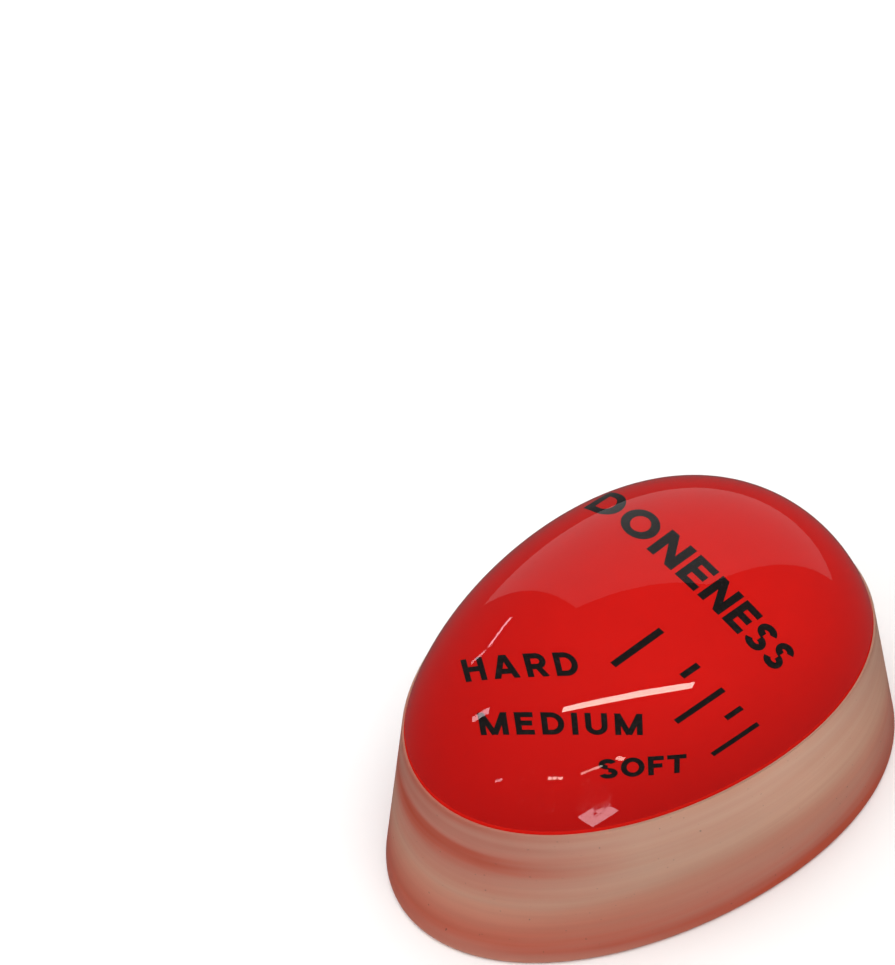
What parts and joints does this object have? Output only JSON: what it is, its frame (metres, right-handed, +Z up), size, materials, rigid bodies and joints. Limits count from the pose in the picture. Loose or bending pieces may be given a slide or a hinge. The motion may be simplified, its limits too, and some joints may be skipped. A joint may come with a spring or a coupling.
{
  "type": "colour-changing egg timer",
  "caption": "Half-egg kitchen timer of clear cast resin: a polished dome over a red heat-sensitive disc with a printed hard-to-soft scale, on a satin base.",
  "frame": {"origin": "centre of the flat underside", "axes": "+Z up out of the underside, +Y towards the egg's blunt end, +X to the right of a reader of the print"},
  "size_m": [0.0424, 0.06, 0.0316],
  "materials": {
    "polished_resin": "polished clear cast resin",
    "satin_resin": "clear cast resin, finely ground to satin with fine level lines",
    "heat_red": "opaque red heat-sensitive layer",
    "black_ink": "flat black printing ink"
  },
  "bodies": {
    "root": {"clear_dome": "polished_resin", "thermochromic_disc": "heat_red", "clear_base": "satin_resin", "title_word": "black_ink", "hard_word": "black_ink", "medium_word": "black_ink", "soft_word": "black_ink", "hard_mark": "black_ink", "hard_medium_mark": "black_ink", "medium_mark": "black_ink", "medium_soft_mark": "black_ink", "soft_mark": "black_ink"}
  },
  "joints": []
}
